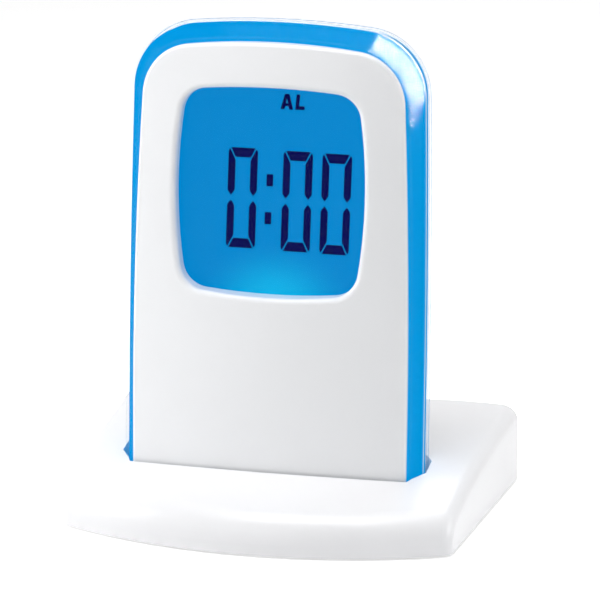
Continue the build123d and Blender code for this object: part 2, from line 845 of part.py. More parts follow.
with BuildPart() as rear_cover:
    with BuildSketch(depth_plane(frame_depth)):
        add(arched_outline(rear_inset))
    with BuildSketch(depth_plane(rear_depth)):
        add(arched_outline(rear_inset + rear_shrink))
    loft(ruled=True)
    fillet(rear_cover.faces().sort_by(forward_axis)[0].edges(), rear_round)
    with BuildSketch(depth_plane(frame_depth - lip_length)):
        add(frame_opening(lip_gap))
    extrude(amount=-lip_length)
    with BuildSketch(depth_plane(frame_depth - lip_length)):
        add(frame_opening(lip_gap + lip_wall))
    extrude(amount=frame_depth - lip_length - rear_inner, mode=Mode.SUBTRACT)

    # Bay walls and rear bosses stand on the inside of the back wall
    with BuildSketch(depth_plane(bay_front - bay_floor)):
        with Locations((0, bay_middle)):
            Rectangle(2 * door_half_width, door_top - door_bottom)
    extrude(amount=bay_front - bay_floor - rear_inner)
    with BuildSketch(depth_plane(boss_split_depth + boss_split_gap)):
        with Locations(*case_boss_places):
            Circle(rear_boss_radius)
    extrude(amount=boss_split_depth + boss_split_gap - rear_inner)
    with BuildSketch(depth_plane(boss_split_depth + boss_split_gap)):
        with Locations(*case_boss_places):
            Circle(case_boss_radius + notch_gap)
    extrude(amount=boss_split_depth + boss_split_gap - frame_depth + lip_length, mode=Mode.SUBTRACT)

    # Bay space, door seat, latch notch and the slots for the door's tabs
    with BuildSketch(depth_plane(bay_front)):
        with Locations((0, bay_middle)):
            Rectangle(2 * bay_half_width, bay_height)
    extrude(amount=bay_front - rear_depth, mode=Mode.SUBTRACT)
    with BuildSketch(depth_plane(rear_inner)):
        with Locations((0, bay_middle)):
            RectangleRounded(
                2 * (door_half_width + door_gap),
                door_top - door_bottom + 2 * door_gap,
                door_corner + door_gap,
            )
        with Locations((0, door_top)):
            Rectangle(latch_width + 2 * door_gap, 2 * (latch_height + door_gap))
    extrude(amount=-rear_wall, mode=Mode.SUBTRACT)
    with BuildSketch(depth_plane(rear_inner)):
        with Locations(*[(x, slot_bottom) for x in tab_places]):
            Rectangle(
                door_tab_width + 2 * tab_slot_gap,
                bay_bottom - slot_bottom,
                align=(Align.CENTER, Align.MIN),
            )
    extrude(amount=slot_depth, mode=Mode.SUBTRACT)
    with Locations(head_point(0, door_top + scoop_radius, rear_depth + scoop_radius - scoop_depth)):
        Sphere(scoop_radius, mode=Mode.SUBTRACT)

    # Slots in the left end wall of the bay for the contacts' tabs
    with BuildSketch(depth_plane(lead_depth - tab_depth / 2 - tab_slot_gap)):
        with Locations(*[(-door_half_width, height) for height in cell_heights]):
            Rectangle(3 * bay_wall, contact_thickness + tab_slot_gap)
    extrude(amount=-tab_depth - 2 * tab_slot_gap, mode=Mode.SUBTRACT)

    # Holes for buttons, slide switch, sound and screws
    with BuildSketch(depth_plane(rear_depth)):
        with Locations(*button_places):
            Circle(button_radius + button_gap)
        with Locations((0, slider_height)):
            Rectangle(
                slider_length + slider_travel + 2 * slider_gap, slider_width + 2 * slider_gap
            )
        with Locations((0, buzzer_height)):
            Circle(sound_hole_radius)
            with PolarLocations(sound_ring_radius, sound_hole_count):
                Circle(sound_hole_radius)
        with Locations(*case_boss_places):
            Circle(screw_shank_radius + screw_pass_gap)
    extrude(amount=rear_depth - boss_split_depth, mode=Mode.SUBTRACT)
    with BuildSketch(depth_plane(rear_depth)):
        with Locations(*case_boss_places):
            Circle(case_head_radius + screw_pass_gap)
    extrude(amount=case_sink_depth, mode=Mode.SUBTRACT)
save(rear_cover, "rear_cover")

# Battery cells: a can with a raised nub, turned end for end from one to the next
for number, cell_height in enumerate(cell_heights):
    direction = 1 - 2 * (number % 2)
    can_start = -direction * cell_reach
    can_end = can_start + direction * cell_length
    nub_end = can_end + direction * cell_nub_length
    with BuildPart() as battery_cell:
        with BuildSketch(level_plane(cell_height)):
            with BuildLine():
                Polyline(
                    (can_start, cell_depth),
                    (can_start, cell_depth + cell_radius),
                    (can_end, cell_depth + cell_radius),
                    (can_end, cell_depth + cell_nub_radius),
                    (nub_end, cell_depth + cell_nub_radius),
                    (nub_end, cell_depth),
                    (can_start, cell_depth),
                )
            make_face()
        revolve(axis=Axis(head_point(0, cell_height, cell_depth), (1, 0, 0)))
        rims = battery_cell.edges().filter_by(GeomType.CIRCLE)
        chamfer(rims.filter_by(lambda rim: rim.radius > cell_radius - cell_edge), cell_edge)
    save(battery_cell, f"battery_cell_{number + 1}")

# Battery contacts: a bridge on the right, two tabbed plates on the left, a boss at each cell
contact_face = cell_reach + contact_gap
bridge_height = cell_heights[-1] - cell_heights[0] + contact_height
tab_ends = [door_half_width + lead_spread * (cell_count - n) for n in range(cell_count)]

with BuildPart() as battery_contacts:
    with BuildSketch(depth_plane(cell_depth - contact_width / 2)):
        with Locations((contact_face + contact_thickness / 2, bay_middle)):
            Rectangle(contact_thickness, bridge_height)
        with Locations(*[(-contact_face - contact_thickness / 2, h) for h in cell_heights]):
            Rectangle(contact_thickness, contact_height)
    extrude(amount=-contact_width)
    for side in (-1, 1):
        boss_foot = head_point(side * contact_face, 0, 0)
        with BuildSketch(Plane(origin=boss_foot, x_dir=back, z_dir=(side, 0, 0))):
            with Locations(*[(cell_depth, side * height) for height in cell_heights]):
                Circle(contact_boss_radius)
        extrude(amount=-contact_boss_height)
    for height, tab_end in zip(cell_heights, tab_ends):
        with BuildSketch(depth_plane(lead_depth - tab_depth / 2)):
            with Locations((-contact_face, height)):
                Rectangle(
                    tab_end - contact_face, contact_thickness, align=(Align.MAX, Align.CENTER)
                )
        extrude(amount=-tab_depth)
save(battery_contacts, "battery_contacts")

# Battery leads: two straight wires from the contacts' tabs up to the board
with BuildPart() as battery_leads:
    for height, tab_end in zip(cell_heights, tab_ends):
        with BuildSketch(level_plane(height + contact_thickness / 2)):
            with Locations((-tab_end + lead_radius, lead_depth)):
                Circle(lead_radius)
        extrude(amount=board_bottom + lead_overlap - height)
save(battery_leads, "battery_leads")

# Battery door: a plate with two hooked tabs below and a latch tongue above
with BuildPart() as battery_door:
    with BuildSketch(depth_plane(rear_inner + stack_gap)):
        with Locations((0, bay_middle)):
            RectangleRounded(2 * door_half_width, door_top - door_bottom, door_corner)
        with Locations((0, door_top)):
            Rectangle(latch_width, 2 * latch_height)
    extrude(amount=stack_gap - rear_wall)
    with BuildSketch(depth_plane(rear_inner - tab_slot_gap / 4)):
        with Locations(*[(x, door_bottom - door_tab_reach) for x in tab_places]):
            Rectangle(
                door_tab_width,
                door_tab_reach + door_tab_root,
                align=(Align.CENTER, Align.MIN),
            )
    extrude(amount=door_tab_thickness)
    with BuildSketch(depth_plane(rear_inner + stack_gap)):
        with Locations(*[(x, door_bottom) for x in tab_places]):
            Rectangle(door_tab_width, door_tab_root, align=(Align.CENTER, Align.MIN))
    extrude(amount=tab_slot_gap)
save(battery_door, "battery_door")

# Case screws: five pan heads sunk in the rear cover
with BuildPart() as case_screws:
    with BuildSketch(depth_plane(rear_depth - case_sink_depth)):
        with Locations(*case_boss_places):
            Circle(case_head_radius)
    extrude(amount=-case_head_height)
    with BuildSketch(depth_plane(rear_depth - case_sink_depth)):
        with Locations(*case_boss_places):
            Circle(screw_shank_radius)
    extrude(amount=case_screw_length)
save(case_screws, "case_screws")
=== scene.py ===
import math

import bmesh
import bpy
from mathutils import Matrix, Vector


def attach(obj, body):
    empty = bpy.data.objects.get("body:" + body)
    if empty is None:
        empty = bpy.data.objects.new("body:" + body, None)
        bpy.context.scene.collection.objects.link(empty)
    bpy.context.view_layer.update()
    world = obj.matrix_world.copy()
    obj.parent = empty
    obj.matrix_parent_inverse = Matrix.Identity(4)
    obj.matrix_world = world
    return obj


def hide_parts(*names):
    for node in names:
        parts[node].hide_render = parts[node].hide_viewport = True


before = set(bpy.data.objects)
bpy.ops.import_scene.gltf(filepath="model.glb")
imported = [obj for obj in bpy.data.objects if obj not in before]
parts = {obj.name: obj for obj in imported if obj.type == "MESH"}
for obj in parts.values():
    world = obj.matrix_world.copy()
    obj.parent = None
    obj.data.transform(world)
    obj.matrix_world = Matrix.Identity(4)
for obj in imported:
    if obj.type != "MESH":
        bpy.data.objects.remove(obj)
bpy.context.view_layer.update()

MM = 0.001
LEAN = math.radians(3.0)
ACROSS = Vector((1, 0, 0))
UP = Vector((0, math.sin(LEAN), math.cos(LEAN)))
BACK = Vector((0, math.cos(LEAN), -math.sin(LEAN)))
HEAD_FOOT = Vector((0, -14.5, 0))

# Depths behind the plane where the white cover ends, in millimetres
GLASS_FRONT = 1.5
CASE_SCREW_TOP = 14.0
DOOR_FACE = 14.75
REAR_FACE = 14.8

# Places of the screws, in millimetres: across and up the head, and across and back on the base
CASE_SCREWS = ((0, 103.3), (-26.4, 62), (26.4, 62), (-26.2, 13.5), (26.2, 13.5))
BASE_SCREWS = ((-36.5, -8.5), (36.5, -8.5), (-36.5, 18.5), (36.5, 18.5))
BASE_SCREW_TOP = 1.05

# Half the length of a battery cell, and the plane between the two leads
HALF_CELL = 22.2
BETWEEN_LEADS = -26.1


def on_head(across, height, depth):
    """A point of the leaning head, in metres, from millimetres across, up and behind its face."""
    return (HEAD_FOOT + ACROSS * across + UP * height + BACK * depth) * MM


def along_back(depth):
    """How far along BACK, in metres, the plane at a depth behind the head's face lies."""
    return BACK.dot(on_head(0, 0, depth))


def head_space(across, height, depth):
    """Axes that stand on the head at a point: X across, Y up the head, Z out of the back."""
    place = on_head(across, height, depth)
    return Matrix((
        (ACROSS.x, UP.x, BACK.x, place.x),
        (ACROSS.y, UP.y, BACK.y, place.y),
        (ACROSS.z, UP.z, BACK.z, place.z),
        (0, 0, 0, 1),
    ))


# ---------------------------------------------------------------------------
# Materials
# ---------------------------------------------------------------------------

def paint(code):
    """An sRGB hex colour as the linear colour that the shaders take."""
    channels = [int(code[n:n + 2], 16) / 255 for n in (0, 2, 4)]
    linear = [c / 12.92 if c <= 0.04045 else ((c + 0.055) / 1.055) ** 2.4 for c in channels]
    return (*linear, 1.0)


def add_node(tree, kind, settings=None, links=None):
    """Add one shader node, set its options and sockets, and join its sockets to others."""
    node = tree.nodes.new(kind)
    for key, value in (settings or {}).items():
        if isinstance(key, str) and key in node.bl_rna.properties:
            setattr(node, key, value)
        else:
            node.inputs[key].default_value = value
    for key, source in (links or {}).items():
        tree.links.new(source, node.inputs[key])
    return node


def new_finish(name, settings, links=None):
    """A material with one main shader; returns the material, its node tree and that shader."""
    finish = bpy.data.materials.new(name)
    finish.use_nodes = True
    tree = finish.node_tree
    tree.nodes.clear()
    skin = add_node(tree, "ShaderNodeBsdfPrincipled", settings, links)
    add_node(tree, "ShaderNodeOutputMaterial", {}, {"Surface": skin.outputs["BSDF"]})
    return finish, tree, skin


def grain(tree, skin, size, depth):
    """Fine unevenness of a surface: lumps of a size and depth in millimetres."""
    place = add_node(tree, "ShaderNodeTexCoord")
    lumps = add_node(
        tree, "ShaderNodeTexNoise", {"Scale": 1 / (size * MM), "Detail": 2.0},
        {"Vector": place.outputs["Object"]},
    )
    bump = add_node(
        tree, "ShaderNodeBump", {"Strength": 1.0, "Distance": depth * MM},
        {"Height": lumps.outputs["Fac"]},
    )
    tree.links.new(bump.outputs["Normal"], skin.inputs["Normal"])
    return lumps


def handled(tree, skin, low, high, size):
    """Roughness that wanders between two values, as on a part that has been wiped and handled."""
    place = add_node(tree, "ShaderNodeTexCoord")
    marks = add_node(
        tree, "ShaderNodeTexNoise", {"Scale": 1 / (size * MM), "Detail": 4.0, "Roughness": 0.6},
        {"Vector": place.outputs["Object"]},
    )
    spread = add_node(
        tree, "ShaderNodeMapRange",
        {"From Min": 0.35, "From Max": 0.65, "To Min": low, "To Max": high},
        {"Value": marks.outputs["Fac"]},
    )
    tree.links.new(spread.outputs["Result"], skin.inputs["Roughness"])
    return marks


def tinted(tree, skin, lumps, dark, light):
    """Colour that shifts a little between two hex values with a pattern."""
    shade = add_node(
        tree, "ShaderNodeMix", {"data_type": "RGBA", 6: paint(dark), 7: paint(light)},
        {0: lumps.outputs["Fac"]},
    )
    tree.links.new(shade.outputs[2], skin.inputs["Base Color"])


def dress(name, finish):
    """Give a finished node of the model its material."""
    mesh = parts[name].data
    mesh.materials.clear()
    mesh.materials.append(finish)


# Glossy ABS, moulded against a polished tool: clean highlights with a faint waviness
cover_abs, tree, skin = new_finish("glossy_moulded_abs_white", {"IOR": 1.54})
tinted(tree, skin, handled(tree, skin, 0.16, 0.24, 22), "F0F1F3", "F5F6F8")
grain(tree, skin, 9.0, 0.004)

# The base is the same plastic from another tool: a little softer in its gloss
base_abs, tree, skin = new_finish("moulded_abs_base_white", {"IOR": 1.54})
tinted(tree, skin, handled(tree, skin, 0.21, 0.255, 26), "F3F3F5", "F7F7F9")
grain(tree, skin, 0.9, 0.0012)

# Spark-eroded ABS on faces that nobody looks at: an even matt grain of about 0.3 mm
plate_abs, tree, skin = new_finish("spark_eroded_abs_white", {"IOR": 1.54, "Roughness": 0.55})
tinted(tree, skin, grain(tree, skin, 0.35, 0.02), "E2E3E5", "EBECEE")

# Matt ABS of the inner holder
holder_abs, tree, skin = new_finish("matt_moulded_abs_holder", {"IOR": 1.54, "Roughness": 0.6})
tinted(tree, skin, grain(tree, skin, 0.6, 0.01), "D8DADC", "E2E4E6")

# Tinted acrylic that the lamps light from behind: a deep blue that glows evenly along the ring
frame_acrylic, tree, skin = new_finish(
    "lit_translucent_blue_acrylic",
    {
        "Base Color": paint("003C66"), "IOR": 1.49, "Roughness": 0.4, "Specular IOR Level": 0.0,
        "Emission Strength": 0.8,
    },
)
place = add_node(tree, "ShaderNodeTexCoord")
glow = add_node(
    tree, "ShaderNodeTexNoise", {"Scale": 1 / (38 * MM), "Detail": 1.0},
    {"Vector": place.outputs["Object"]},
)
lit = add_node(
    tree, "ShaderNodeMix", {"data_type": "RGBA", 6: paint("009AE2"), 7: paint("00A2E8")},
    {0: glow.outputs["Fac"]},
)
tree.links.new(lit.outputs[2], skin.inputs["Emission Color"])

# Polished clear acrylic of the outer skin: sharp reflections over the blue ring behind it
skin_acrylic, tree, skin = new_finish(
    "polished_clear_acrylic_skin",
    {"Base Color": paint("0096DC"), "IOR": 1.49, "Roughness": 0.04, "Alpha": 0.035},
)
grain(tree, skin, 12.0, 0.003)

# Its broken edges carry a painted highlight, pale lines that stand for the light running inside the
# acrylic: thin lines along both back edges and along the outside of the shoulder, and hardly any at
# the front, where the faint colour is painted shade for the cover that stands over it
edge_acrylic_painted_highlight, tree, skin = new_finish(
    "painted_highlight_acrylic_edge", {"IOR": 1.49, "Roughness": 0.12}
)
tinted(tree, skin, grain(tree, skin, 6.0, 0.002), "CFE4F0", "E2F0F8")
place = add_node(tree, "ShaderNodeTexCoord")
depth = add_node(
    tree, "ShaderNodeVectorMath", {"operation": "DOT_PRODUCT", 1: BACK},
    {0: place.outputs["Object"]},
)
# Painted highlight: the pale edge colour shows faintly at the front and strongly from 3 mm back
painted_highlight_by_depth = add_node(
    tree, "ShaderNodeMapRange",
    {"From Min": along_back(1.5), "From Max": along_back(3), "To Min": 0.03, "To Max": 0.7},
    {"Value": depth.outputs["Value"]},
)
# Painted highlight kept on outward-facing edges, and on all edges from about 6 mm back
surface = add_node(tree, "ShaderNodeNewGeometry")
outer_side = add_node(
    tree, "ShaderNodeMath", {"operation": "SUBTRACT", 0: 1.0}, {1: surface.outputs["Backfacing"]},
)
at_back = add_node(
    tree, "ShaderNodeMapRange", {"From Min": along_back(5.5), "From Max": along_back(6.5)},
    {"Value": depth.outputs["Value"]},
)
painted_highlight_places = add_node(
    tree, "ShaderNodeMath", {"operation": "MAXIMUM"},
    {0: outer_side.outputs["Value"], 1: at_back.outputs["Result"]},
)
shown = add_node(
    tree, "ShaderNodeMath", {"operation": "MULTIPLY"},
    {0: painted_highlight_by_depth.outputs["Result"], 1: painted_highlight_places.outputs["Value"]},
)
tree.links.new(shown.outputs["Value"], skin.inputs["Alpha"])

# Clear acrylic lens over the display: thin enough to be seen only by its reflections
lens_acrylic, tree, skin = new_finish(
    "polished_clear_acrylic_lens",
    {"Base Color": paint("06202E"), "IOR": 1.49, "Roughness": 0.02, "Alpha": 0.05},
)
grain(tree, skin, 20.0, 0.002)

# Display glass, lit from behind by one lamp under its lower edge: a bright pool there, wider than
# it is high, that fades into an even blue
display_glass, tree, skin = new_finish(
    "backlit_display_glass",
    {
        "Base Color": paint("001E30"), "IOR": 1.52, "Roughness": 0.3, "Specular IOR Level": 0.02,
        "Emission Strength": 1.0,
    },
)
place = add_node(tree, "ShaderNodeTexCoord")
lamp_place = on_head(0.6, 50.4, GLASS_FRONT)
from_lamp = add_node(
    tree, "ShaderNodeVectorMath", {"operation": "SUBTRACT", 1: lamp_place},
    {0: place.outputs["Object"]},
)
squeezed = add_node(
    tree, "ShaderNodeVectorMath", {"operation": "MULTIPLY", 1: (0.72, 0.0, 1.0)},
    {0: from_lamp.outputs["Vector"]},
)
distance = add_node(
    tree, "ShaderNodeVectorMath", {"operation": "LENGTH"}, {0: squeezed.outputs["Vector"]},
)
fade = add_node(
    tree, "ShaderNodeMapRange",
    {
        "interpolation_type": "SMOOTHSTEP", "From Min": 0.5 * MM, "From Max": 13 * MM,
        "To Min": 1.0, "To Max": 0.0,
    },
    {"Value": distance.outputs["Value"]},
)
lit = add_node(
    tree, "ShaderNodeMix", {"data_type": "RGBA", 6: paint("008AD5"), 7: paint("0CB8F0")},
    {0: fade.outputs["Result"]},
)
tree.links.new(lit.outputs[2], skin.inputs["Emission Color"])

# Liquid crystal segments, switched dark: navy with the backlight just showing through
segment_ink, tree, skin = new_finish(
    "liquid_crystal_segment_navy", {"IOR": 1.52, "Roughness": 0.3, "Specular IOR Level": 0.02}
)
tinted(tree, skin, grain(tree, skin, 0.5, 0.001), "060C58", "0C0A5C")

# Acrylic light guide with a printed dot pattern that spreads the lamp's light
guide_acrylic, tree, skin = new_finish(
    "frosted_acrylic_light_guide", {"IOR": 1.49, "Roughness": 0.35, "Transmission Weight": 0.5}
)
tinted(tree, skin, grain(tree, skin, 0.8, 0.02), "D4ECF8", "F0F8FC")

# Matt white reflector film
film, tree, skin = new_finish("matt_white_polyester_film", {"IOR": 1.57, "Roughness": 0.7})
tinted(tree, skin, grain(tree, skin, 3.0, 0.01), "EDEDED", "F4F4F4")

# Lamp packages: cloudy resin over the chip
lamp_resin, tree, skin = new_finish(
    "cloudy_epoxy_lamp", {"IOR": 1.55, "Roughness": 0.25, "Emission Strength": 0.6}
)
tinted(tree, skin, grain(tree, skin, 0.4, 0.01), "C8E0F4", "E8F4FC")
skin.inputs["Emission Color"].default_value = paint("4CC4F8")

# Layered silicone connector: alternate dark and light layers 0.3 mm thick. A wave texture draws
# about 3.2 dark bands to its unit
BANDS_PER_UNIT = 3.2
zebra_rubber, tree, skin = new_finish("layered_silicone_connector", {"IOR": 1.41, "Roughness": 0.7})
place = add_node(tree, "ShaderNodeTexCoord")
layers = add_node(
    tree, "ShaderNodeTexWave",
    {"wave_type": "BANDS", "bands_direction": "X", "Scale": 1 / (0.6 * MM) / BANDS_PER_UNIT},
    {"Vector": place.outputs["Object"]},
)
tinted(tree, skin, layers, "202022", "B9BDBF")

# Solder-masked fibreglass board: green lacquer over copper tracks that stand a little proud
board_mask, tree, skin = new_finish(
    "solder_masked_fibreglass_board", {"IOR": 1.5, "Roughness": 0.35}
)
place = add_node(tree, "ShaderNodeTexCoord")
tracks = add_node(
    tree, "ShaderNodeTexBrick",
    {
        "Scale": 1 / (2.4 * MM), "Color1": paint("1C5A34"), "Color2": paint("174A2C"),
        "Mortar": paint("2F7D4B"), "Mortar Size": 0.09, "Brick Width": 2.6, "Row Height": 0.9,
    },
    {"Vector": place.outputs["Object"]},
)
tree.links.new(tracks.outputs["Color"], skin.inputs["Base Color"])
raised = add_node(
    tree, "ShaderNodeBump", {"Distance": 0.035 * MM}, {"Height": tracks.outputs["Fac"]},
)
tree.links.new(raised.outputs["Normal"], skin.inputs["Normal"])

# Black potting resin over the chip: a drop that set glossy
resin, tree, skin = new_finish("set_black_epoxy_drop", {"IOR": 1.55})
tinted(tree, skin, handled(tree, skin, 0.14, 0.25, 2), "060606", "0E0E0F")
grain(tree, skin, 1.6, 0.02)

# Drawn steel cans: fine lengthwise draw lines
can_steel, tree, skin = new_finish(
    "drawn_nickel_plated_steel", {"Metallic": 1.0, "Roughness": 0.32}
)
tinted(tree, skin, grain(tree, skin, 0.35, 0.004), "A9A9AB", "C4C4C6")

# Zinc-plated screws: bright with a bluish passivated tint
screw_zinc, tree, skin = new_finish("blue_passivated_zinc_plate", {"Metallic": 1.0})
tinted(tree, skin, handled(tree, skin, 0.3, 0.42, 1.2), "A8ACB2", "C6C9CC")
grain(tree, skin, 0.3, 0.004)

# Nickel-plated spring steel contacts
contact_nickel, tree, skin = new_finish("nickel_plated_spring_steel", {"Metallic": 1.0})
tinted(tree, skin, handled(tree, skin, 0.15, 0.25, 3), "B4B0A6", "CFCBC0")

# Moulded nylon of switches and buzzer: dark, with a dry surface
switch_nylon, tree, skin = new_finish("moulded_nylon_black", {"IOR": 1.53, "Roughness": 0.55})
tinted(tree, skin, grain(tree, skin, 0.5, 0.01), "151517", "1E1E21")

# Button caps: glossy ABS, slightly greyer than the covers
button_abs, tree, skin = new_finish("glossy_moulded_abs_button", {"IOR": 1.54})
tinted(tree, skin, handled(tree, skin, 0.18, 0.255, 3), "DFE1E4", "E6E8EA")

# Slide knob: black acetal with a fine grain
knob_acetal, tree, skin = new_finish("moulded_acetal_black", {"IOR": 1.48, "Roughness": 0.45})
tinted(tree, skin, grain(tree, skin, 0.3, 0.012), "161618", "202023")

# Rubber feet: dull black nitrile with a dusty bloom
foot_nitrile, tree, skin = new_finish(
    "moulded_nitrile_rubber",
    {"IOR": 1.52, "Roughness": 0.85, "Sheen Weight": 0.15, "Sheen Roughness": 0.5},
)
tinted(tree, skin, grain(tree, skin, 0.5, 0.03), "1B1B1C", "2A2A2B")

# Insulated leads: one red and one black, drawn PVC with a soft shine. They are one piece, so the
# colour changes at the plane between them
lead_pvc, tree, skin = new_finish("extruded_pvc_insulation", {"IOR": 1.53, "Roughness": 0.4})
place = add_node(tree, "ShaderNodeTexCoord")
side = add_node(tree, "ShaderNodeSeparateXYZ", {}, {"Vector": place.outputs["Object"]})
outer = add_node(
    tree, "ShaderNodeMath", {"operation": "LESS_THAN", 1: BETWEEN_LEADS * MM},
    {0: side.outputs["X"]},
)
lead_colour = add_node(
    tree, "ShaderNodeMix", {"data_type": "RGBA", 6: paint("141414"), 7: paint("A8141A")},
    {0: outer.outputs["Value"]},
)
tree.links.new(lead_colour.outputs[2], skin.inputs["Base Color"])


def cell_sleeve(name, direction):
    """Printed film over a steel can: bare rim, dark body and a copper band towards the nub."""
    finish, tree, skin = new_finish(name, {"IOR": 1.57, "Metallic": 0.5})
    handled(tree, skin, 0.17, 0.25, 6)
    place = add_node(tree, "ShaderNodeTexCoord")
    along = add_node(tree, "ShaderNodeSeparateXYZ", {}, {"Vector": place.outputs["Object"]})
    share = add_node(
        tree, "ShaderNodeMapRange",
        {"From Min": -HALF_CELL * MM * direction, "From Max": HALF_CELL * MM * direction},
        {"Value": along.outputs["X"]},
    )
    bands = add_node(tree, "ShaderNodeValToRGB", {}, {"Fac": share.outputs["Result"]})
    ramp = bands.color_ramp
    ramp.interpolation = "CONSTANT"
    for stop, code in ((0.0, "B9BABC"), (0.012, "17181B"), (0.72, "B8743C"), (0.965, "C3C4C6")):
        point = ramp.elements.new(stop) if stop else ramp.elements[0]
        point.position = stop
        point.color = paint(code)
    ramp.elements.remove(ramp.elements[-1])
    tree.links.new(bands.outputs["Color"], skin.inputs["Base Color"])
    return finish


for name, finish in {
    "base_shell": base_abs, "base_plate": plate_abs, "front_cover": cover_abs,
    "light_frame": frame_acrylic, "clear_shell": skin_acrylic, "display_window": lens_acrylic,
    "lcd_glass": display_glass, "lcd_holder": holder_abs, "light_guide": guide_acrylic,
    "reflector_sheet": film, "backlight_led": lamp_resin, "zebra_strip": zebra_rubber,
    "circuit_board": board_mask, "frame_leds": lamp_resin, "chip_blob": resin,
    "quartz_crystal": can_steel, "buzzer": switch_nylon, "button_switches": switch_nylon,
    "button_mode": button_abs, "button_set": button_abs, "button_up": button_abs,
    "button_down": button_abs, "light_switch_body": can_steel, "light_switch_knob": knob_acetal,
    "rear_cover": cover_abs, "battery_door": cover_abs, "battery_contacts": contact_nickel,
    "battery_leads": lead_pvc, "base_screws": screw_zinc, "case_screws": screw_zinc,
    "rubber_foot_front_left": foot_nitrile, "rubber_foot_front_right": foot_nitrile,
    "rubber_foot_back_left": foot_nitrile, "rubber_foot_back_right": foot_nitrile,
    "battery_cell_1": cell_sleeve("printed_sleeve_first_cell", 1),
    "battery_cell_2": cell_sleeve("printed_sleeve_second_cell", -1),
}.items():
    dress(name, finish)


# ---------------------------------------------------------------------------
# Pieces
# ---------------------------------------------------------------------------

def new_piece(name, form, finish, body, smooth=False):
    """Turn a built form into an object that rides on one of the model's bodies."""
    mesh = bpy.data.meshes.new(name)
    bmesh.ops.recalc_face_normals(form, faces=form.faces)
    form.to_mesh(mesh)
    form.free()
    mesh.materials.append(finish)
    for face in mesh.polygons:
        face.use_smooth = smooth
    piece = bpy.data.objects.new(name, mesh)
    bpy.context.scene.collection.objects.link(piece)
    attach(piece, body)
    return piece


def raise_plate(form, faces, space, low, high):
    """Add a flat plate over a space: faces whose corners are in millimetres, from low to high."""
    corners = {}
    flat = []
    for outline in faces:
        for x, y in outline:
            if (x, y) not in corners:
                corners[x, y] = form.verts.new(space @ (Vector((x, y, low)) * MM))
        flat.append(form.faces.new([corners[point] for point in outline]))
    grown = bmesh.ops.extrude_face_region(form, geom=flat, use_keep_orig=True)["geom"]
    lift = space.to_3x3() @ Vector((0, 0, high - low)) * MM
    moved = [part for part in grown if isinstance(part, bmesh.types.BMVert)]
    bmesh.ops.translate(form, verts=moved, vec=lift)


def box_outline(left, bottom, right, top):
    """Corners of an upright box, in millimetres."""
    return [(left, bottom), (right, bottom), (right, top), (left, top)]


def round_outline(radius, count, across=0.0, height=0.0):
    """Corners of a circle, in millimetres."""
    turns = [2 * math.pi * n / count for n in range(count)]
    return [(across + radius * math.cos(t), height + radius * math.sin(t)) for t in turns]


def ring_faces(radius, hollow, count, across, height):
    """Faces of a flat ring between two radii, in millimetres."""
    outer = round_outline(radius, count, across, height)
    inner = round_outline(hollow, count, across, height)
    return [
        (outer[n], outer[(n + 1) % count], inner[(n + 1) % count], inner[n]) for n in range(count)
    ]


def bar_outline(length, width, across, height):
    """Corners of a bar with round ends that lies across, in millimetres."""
    radius = width / 2
    half = length / 2 - radius
    steps = 6
    points = []
    for n in range(2 * steps + 2):
        turn = math.pi * (n - (n > steps)) / steps - math.pi / 2
        side = half if n <= steps else -half
        points.append((across + side + radius * math.cos(turn), height + radius * math.sin(turn)))
    return points


def soften(piece, width, angle=30):
    """Break the sharp edges of a piece, as moulding and tumbling do: width in millimetres."""
    joined = piece.modifiers.new("joined_corners", "WELD")
    joined.merge_threshold = 0.002 * MM
    edge = piece.modifiers.new("broken_edges", "BEVEL")
    edge.width = width * MM
    edge.segments = 2
    edge.limit_method = "ANGLE"
    edge.angle_limit = math.radians(angle)
    return edge


# Display characters: dark plates on the front of the glass
SLANT = math.tan(math.radians(1.35))
LIT_FRONT = -0.07
LIT_BACK = -0.005
screen = head_space(0, 0, GLASS_FRONT)


def lean(points, middle):
    """Lean a character's points over its own middle height."""
    return [(round(x + (y - middle) * SLANT, 4), y) for x, y in points]


def figure_zero(centre, middle):
    """Outlines of the six lit segments of a seven-segment nought, 22 mm high."""
    cap = [(-2.75, 11.05), (2.75, 11.05), (1.72, 8.95), (-1.72, 8.95)]
    post = [
        (-3.3, 10.1), (-3.16, 10.6), (-2.95, 10.78), (-1.68, 8.3),
        (-1.68, 1.7), (-2.5, 0.5), (-3.3, 1.6),
    ]
    plates = []
    for rise in (1, -1):
        plates.append([(centre + x, middle + rise * y) for x, y in cap])
        for side in (1, -1):
            plates.append([(centre + side * x, middle + rise * y) for x, y in post])
    return [lean(plate, middle) for plate in plates]


characters = bmesh.new()
for centre, middle in ((-7.2, 72.65), (5.14, 72.5), (13.86, 72.4)):
    for plate in figure_zero(centre, middle):
        raise_plate(characters, [plate], screen, LIT_FRONT, LIT_BACK)
for across, height in ((-0.95, 76.87), (-1.28, 68.5)):
    dot = box_outline(across - 0.74, height - 1.33, across + 0.74, height + 1.33)
    raise_plate(characters, [lean(dot, height)], screen, LIT_FRONT, LIT_BACK)
top_left, top_right, peak = (2.22, 95.97), (3.24, 95.97), (2.72, 95.0)
bar_left, bar_right = (2.34, 93.3), (3.02, 93.3)
bar_high_left, bar_high_right = (2.48, 93.95), (2.92, 93.95)
letter_a = [
    ((1.26, 92.62), (2.14, 92.62), bar_left, bar_high_left, peak, top_left),
    (top_left, peak, top_right),
    (top_right, peak, bar_high_right, bar_right, (3.2, 92.58), (4.08, 92.58)),
    (bar_left, bar_right, bar_high_right, bar_high_left),
]
letter_l = [
    ((4.55, 92.62), (6.66, 92.66), (6.66, 93.46), (5.4, 93.44), (5.66, 95.97), (4.84, 95.97)),
]
for letter in (letter_a, letter_l):
    raise_plate(characters, letter, screen, LIT_FRONT, LIT_BACK)
new_piece("display_characters", characters, segment_ink, "head")


# Screws: cross-recessed heads and rolled threads, lathed ring by ring
THREAD_CREST, THREAD_ROOT, THREAD_PITCH = 1.1, 0.82, 0.9
THREAD_SHARPNESS = 3.4
POINT_LENGTH = 1.2


